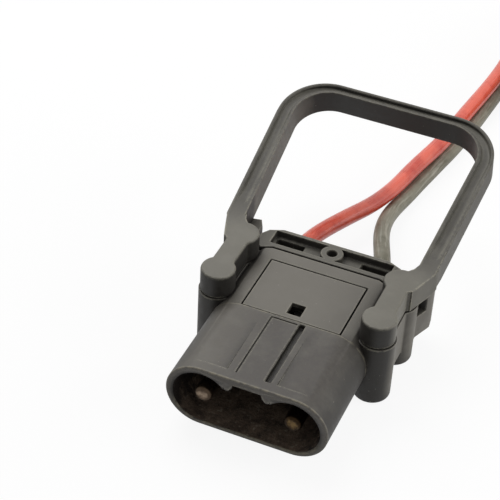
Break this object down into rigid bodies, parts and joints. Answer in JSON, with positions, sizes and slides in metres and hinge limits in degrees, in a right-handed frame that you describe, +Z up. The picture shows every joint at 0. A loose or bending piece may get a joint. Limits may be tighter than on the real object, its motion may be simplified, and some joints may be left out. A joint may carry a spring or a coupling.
{
  "type": "battery charging plug with leads",
  "caption": "Two-pin battery charging plug with an oval keyed mouth, a screwed-on pull handle, a cable clamp, and red and black leads wound up with ring lugs.",
  "frame": {"origin": "centre of the plug's footprint, leads left out, on the floor under its four screw bosses", "axes": "+Z up, the mouth and the two pins face -Y, the leads leave at +Y, +X to the right seen from the mouth"},
  "size_m": [0.2291, 0.5176, 0.0839],
  "materials": {
    "housing_polyamide": "moulded glass-filled polyamide, dry and weathered",
    "contact_copper": "turned copper, dull with age, bright at the tips",
    "zinc_steel": "zinc plated screws",
    "red_cable_rubber": "red cable sheath",
    "black_cable_rubber": "black cable sheath, greyed",
    "tinned_copper": "tinned copper",
    "heat_shrink": "black heat-shrink sleeve"
  },
  "bodies": {
    "root": {"housing": "housing_polyamide", "lock_plate": "housing_polyamide", "coding_pin": "housing_polyamide", "positive_contact": "contact_copper", "negative_contact": "contact_copper", "positive_conductor": "contact_copper", "negative_conductor": "contact_copper", "clamp_upper": "housing_polyamide", "clamp_lower": "housing_polyamide", "clamp_screw": "zinc_steel", "handle": "housing_polyamide", "handle_screws": "zinc_steel", "positive_root": "red_cable_rubber", "negative_root": "black_cable_rubber", "positive_lead": "red_cable_rubber", "negative_lead": "black_cable_rubber", "positive_coil": "red_cable_rubber", "negative_coil": "black_cable_rubber", "positive_end": "red_cable_rubber", "negative_end": "black_cable_rubber", "positive_sleeve": "heat_shrink", "negative_sleeve": "heat_shrink", "positive_lug": "tinned_copper", "negative_lug": "tinned_copper", "coil_ties": "heat_shrink"}
  },
  "joints": []
}
